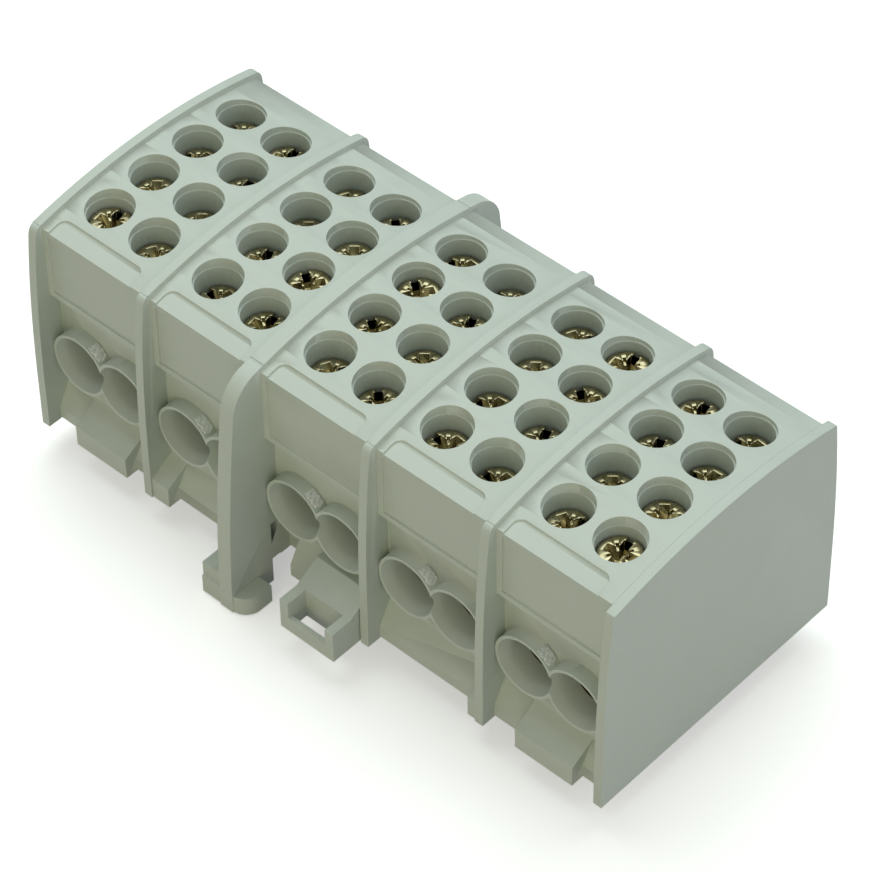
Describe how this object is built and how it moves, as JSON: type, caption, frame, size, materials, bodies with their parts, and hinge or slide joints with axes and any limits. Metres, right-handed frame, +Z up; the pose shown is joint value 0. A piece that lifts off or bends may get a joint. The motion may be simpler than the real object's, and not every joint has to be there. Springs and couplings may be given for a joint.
{
  "type": "power distribution block",
  "caption": "Multi-pole main-line branch terminal block: grey moulded poles side by side, round wire entries with clamping screws above, and a rail foot with a sliding latch.",
  "frame": {"origin": "middle of the block in X and Y, at the level of the foot's sole", "axes": "+X along the row of poles towards the end plate, +Y from the front entries to the back ones, +Z up"},
  "size_m": [0.1166, 0.064, 0.049],
  "materials": {
    "housing": "moulded, satin",
    "clamp_metal": "drawn, machined",
    "screw_metal": "zinc plated, yellowish"
  },
  "bodies": {
    "block": {"housing_1": "housing", "housing_2": "housing", "housing_3": "housing", "housing_4": "housing", "housing_5": "housing", "clamp_body_1": "clamp_metal", "clamp_body_2": "clamp_metal", "clamp_body_3": "clamp_metal", "clamp_body_4": "clamp_metal", "clamp_body_5": "clamp_metal", "end_plate": "housing"},
    "screw_1a1": {"screw_1a1": "screw_metal"},
    "screw_1a2": {"screw_1a2": "screw_metal"},
    "screw_1a3": {"screw_1a3": "screw_metal"},
    "screw_1a4": {"screw_1a4": "screw_metal"},
    "screw_1b1": {"screw_1b1": "screw_metal"},
    "screw_1b2": {"screw_1b2": "screw_metal"},
    "screw_1b3": {"screw_1b3": "screw_metal"},
    "screw_1b4": {"screw_1b4": "screw_metal"},
    "screw_2a1": {"screw_2a1": "screw_metal"},
    "screw_2a2": {"screw_2a2": "screw_metal"},
    "screw_2a3": {"screw_2a3": "screw_metal"},
    "screw_2a4": {"screw_2a4": "screw_metal"},
    "screw_2b1": {"screw_2b1": "screw_metal"},
    "screw_2b2": {"screw_2b2": "screw_metal"},
    "screw_2b3": {"screw_2b3": "screw_metal"},
    "screw_2b4": {"screw_2b4": "screw_metal"},
    "screw_3a1": {"screw_3a1": "screw_metal"},
    "screw_3a2": {"screw_3a2": "screw_metal"},
    "screw_3a3": {"screw_3a3": "screw_metal"},
    "screw_3a4": {"screw_3a4": "screw_metal"},
    "screw_3b1": {"screw_3b1": "screw_metal"},
    "screw_3b2": {"screw_3b2": "screw_metal"},
    "screw_3b3": {"screw_3b3": "screw_metal"},
    "screw_3b4": {"screw_3b4": "screw_metal"},
    "screw_4a1": {"screw_4a1": "screw_metal"},
    "screw_4a2": {"screw_4a2": "screw_metal"},
    "screw_4a3": {"screw_4a3": "screw_metal"},
    "screw_4a4": {"screw_4a4": "screw_metal"},
    "screw_4b1": {"screw_4b1": "screw_metal"},
    "screw_4b2": {"screw_4b2": "screw_metal"},
    "screw_4b3": {"screw_4b3": "screw_metal"},
    "screw_4b4": {"screw_4b4": "screw_metal"},
    "screw_5a1": {"screw_5a1": "screw_metal"},
    "screw_5a2": {"screw_5a2": "screw_metal"},
    "screw_5a3": {"screw_5a3": "screw_metal"},
    "screw_5a4": {"screw_5a4": "screw_metal"},
    "screw_5b1": {"screw_5b1": "screw_metal"},
    "screw_5b2": {"screw_5b2": "screw_metal"},
    "screw_5b3": {"screw_5b3": "screw_metal"},
    "screw_5b4": {"screw_5b4": "screw_metal"},
    "latch": {"rail_latch": "housing"}
  },
  "joints": [
    {"name": "screw_1a1_travel", "type": "slide", "parent": "block", "child": "screw_1a1", "axis": [0, 0, 1], "range_m": [-0.0085, 0]},
    {"name": "screw_1a2_travel", "type": "slide", "parent": "block", "child": "screw_1a2", "axis": [0, 0, 1], "range_m": [-0.0081, 0.0012]},
    {"name": "screw_1a3_travel", "type": "slide", "parent": "block", "child": "screw_1a3", "axis": [0, 0, 1], "range_m": [-0.0077, 0.0016]},
    {"name": "screw_1a4_travel", "type": "slide", "parent": "block", "child": "screw_1a4", "axis": [0, 0, 1], "range_m": [-0.0068, 0.0017]},
    {"name": "screw_1b1_travel", "type": "slide", "parent": "block", "child": "screw_1b1", "axis": [0, 0, 1], "range_m": [-0.0071, 0.0014]},
    {"name": "screw_1b2_travel", "type": "slide", "parent": "block", "child": "screw_1b2", "axis": [0, 0, 1], "range_m": [-0.0071, 0.0022]},
    {"name": "screw_1b3_travel", "type": "slide", "parent": "block", "child": "screw_1b3", "axis": [0, 0, 1], "range_m": [-0.0074, 0.0019]},
    {"name": "screw_1b4_travel", "type": "slide", "parent": "block", "child": "screw_1b4", "axis": [0, 0, 1], "range_m": [-0.0075, 0.001]},
    {"name": "screw_2a1_travel", "type": "slide", "parent": "block", "child": "screw_2a1", "axis": [0, 0, 1], "range_m": [-0.0068, 0.0017]},
    {"name": "screw_2a2_travel", "type": "slide", "parent": "block", "child": "screw_2a2", "axis": [0, 0, 1], "range_m": [-0.0079, 0.0014]},
    {"name": "screw_2a3_travel", "type": "slide", "parent": "block", "child": "screw_2a3", "axis": [0, 0, 1], "range_m": [-0.0071, 0.0022]},
    {"name": "screw_2a4_travel", "type": "slide", "parent": "block", "child": "screw_2a4", "axis": [0, 0, 1], "range_m": [-0.0066, 0.0019]},
    {"name": "screw_2b1_travel", "type": "slide", "parent": "block", "child": "screw_2b1", "axis": [0, 0, 1], "range_m": [-0.0075, 0.001]},
    {"name": "screw_2b2_travel", "type": "slide", "parent": "block", "child": "screw_2b2", "axis": [0, 0, 1], "range_m": [-0.0093, 0]},
    {"name": "screw_2b3_travel", "type": "slide", "parent": "block", "child": "screw_2b3", "axis": [0, 0, 1], "range_m": [-0.0081, 0.0012]},
    {"name": "screw_2b4_travel", "type": "slide", "parent": "block", "child": "screw_2b4", "axis": [0, 0, 1], "range_m": [-0.0069, 0.0016]},
    {"name": "screw_3a1_travel", "type": "slide", "parent": "block", "child": "screw_3a1", "axis": [0, 0, 1], "range_m": [-0.0066, 0.0019]},
    {"name": "screw_3a2_travel", "type": "slide", "parent": "block", "child": "screw_3a2", "axis": [0, 0, 1], "range_m": [-0.0083, 0.001]},
    {"name": "screw_3a3_travel", "type": "slide", "parent": "block", "child": "screw_3a3", "axis": [0, 0, 1], "range_m": [-0.0093, 0]},
    {"name": "screw_3a4_travel", "type": "slide", "parent": "block", "child": "screw_3a4", "axis": [0, 0, 1], "range_m": [-0.0073, 0.0012]},
    {"name": "screw_3b1_travel", "type": "slide", "parent": "block", "child": "screw_3b1", "axis": [0, 0, 1], "range_m": [-0.0069, 0.0016]},
    {"name": "screw_3b2_travel", "type": "slide", "parent": "block", "child": "screw_3b2", "axis": [0, 0, 1], "range_m": [-0.0076, 0.0017]},
    {"name": "screw_3b3_travel", "type": "slide", "parent": "block", "child": "screw_3b3", "axis": [0, 0, 1], "range_m": [-0.0079, 0.0014]},
    {"name": "screw_3b4_travel", "type": "slide", "parent": "block", "child": "screw_3b4", "axis": [0, 0, 1], "range_m": [-0.0063, 0.0022]},
    {"name": "screw_4a1_travel", "type": "slide", "parent": "block", "child": "screw_4a1", "axis": [0, 0, 1], "range_m": [-0.0073, 0.0012]},
    {"name": "screw_4a2_travel", "type": "slide", "parent": "block", "child": "screw_4a2", "axis": [0, 0, 1], "range_m": [-0.0077, 0.0016]},
    {"name": "screw_4a3_travel", "type": "slide", "parent": "block", "child": "screw_4a3", "axis": [0, 0, 1], "range_m": [-0.0076, 0.0017]},
    {"name": "screw_4a4_travel", "type": "slide", "parent": "block", "child": "screw_4a4", "axis": [0, 0, 1], "range_m": [-0.0071, 0.0014]},
    {"name": "screw_4b1_travel", "type": "slide", "parent": "block", "child": "screw_4b1", "axis": [0, 0, 1], "range_m": [-0.0063, 0.0022]},
    {"name": "screw_4b2_travel", "type": "slide", "parent": "block", "child": "screw_4b2", "axis": [0, 0, 1], "range_m": [-0.0074, 0.0019]},
    {"name": "screw_4b3_travel", "type": "slide", "parent": "block", "child": "screw_4b3", "axis": [0, 0, 1], "range_m": [-0.0083, 0.001]},
    {"name": "screw_4b4_travel", "type": "slide", "parent": "block", "child": "screw_4b4", "axis": [0, 0, 1], "range_m": [-0.0085, 0]},
    {"name": "screw_5a1_travel", "type": "slide", "parent": "block", "child": "screw_5a1", "axis": [0, 0, 1], "range_m": [-0.0071, 0.0014]},
    {"name": "screw_5a2_travel", "type": "slide", "parent": "block", "child": "screw_5a2", "axis": [0, 0, 1], "range_m": [-0.0071, 0.0022]},
    {"name": "screw_5a3_travel", "type": "slide", "parent": "block", "child": "screw_5a3", "axis": [0, 0, 1], "range_m": [-0.0074, 0.0019]},
    {"name": "screw_5a4_travel", "type": "slide", "parent": "block", "child": "screw_5a4", "axis": [0, 0, 1], "range_m": [-0.0075, 0.001]},
    {"name": "screw_5b1_travel", "type": "slide", "parent": "block", "child": "screw_5b1", "axis": [0, 0, 1], "range_m": [-0.0085, 0]},
    {"name": "screw_5b2_travel", "type": "slide", "parent": "block", "child": "screw_5b2", "axis": [0, 0, 1], "range_m": [-0.0081, 0.0012]},
    {"name": "screw_5b3_travel", "type": "slide", "parent": "block", "child": "screw_5b3", "axis": [0, 0, 1], "range_m": [-0.0077, 0.0016]},
    {"name": "screw_5b4_travel", "type": "slide", "parent": "block", "child": "screw_5b4", "axis": [0, 0, 1], "range_m": [-0.0068, 0.0017]},
    {"name": "latch_slide", "type": "slide", "parent": "block", "child": "latch", "axis": [0, -1, 0], "range_m": [0, 0.0032]}
  ]
}
